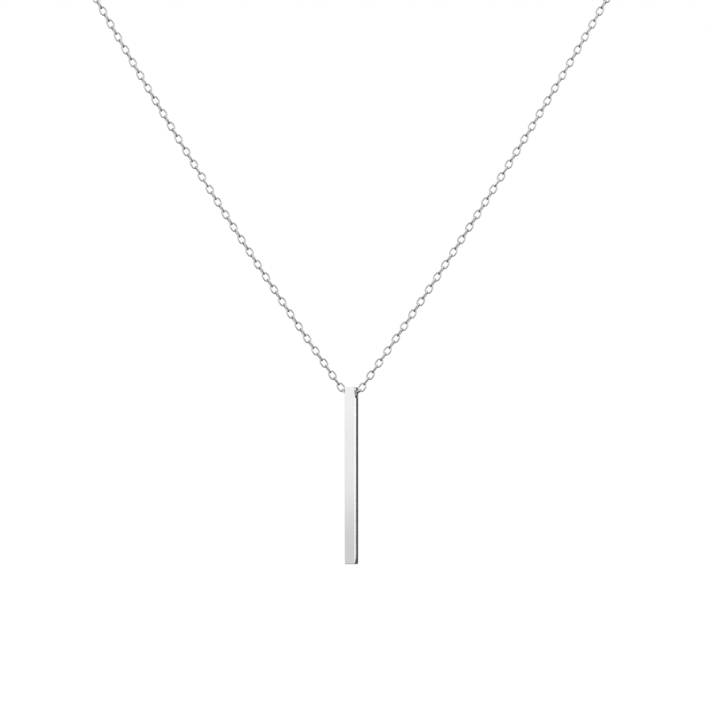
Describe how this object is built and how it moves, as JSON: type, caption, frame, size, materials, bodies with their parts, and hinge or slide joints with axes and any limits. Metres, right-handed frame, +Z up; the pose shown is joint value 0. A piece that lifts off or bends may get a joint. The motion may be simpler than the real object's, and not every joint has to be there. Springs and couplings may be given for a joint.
{
  "type": "bar pendant necklace",
  "caption": "Silver necklace: a slender square bar hangs upright from a fine cable chain that runs through a bore near its top.",
  "frame": {"origin": "middle of the neck that wears the necklace, level with the chain at the nape", "axes": "+Z up along the neck, the bar hangs in front at -Y, +X is to the viewer's right"},
  "size_m": [0.1418, 0.0569, 0.1729],
  "materials": {
    "polished_silver": "polished silver, square sides with fine bevelled edges",
    "chain_silver": "polished silver wire"
  },
  "bodies": {
    "necklace": {"chain_left": "chain_silver", "chain_right": "chain_silver", "clasp": "chain_silver", "end_ring": "chain_silver"},
    "bar": {"bar": "polished_silver"}
  },
  "joints": [
    {"name": "bar_swing", "type": "hinge", "parent": "necklace", "child": "bar", "pos_m": [0, -0.02648, -0.12686], "axis": [0.9252, -0.3795, 0], "range_deg": [-70, 70]}
  ]
}
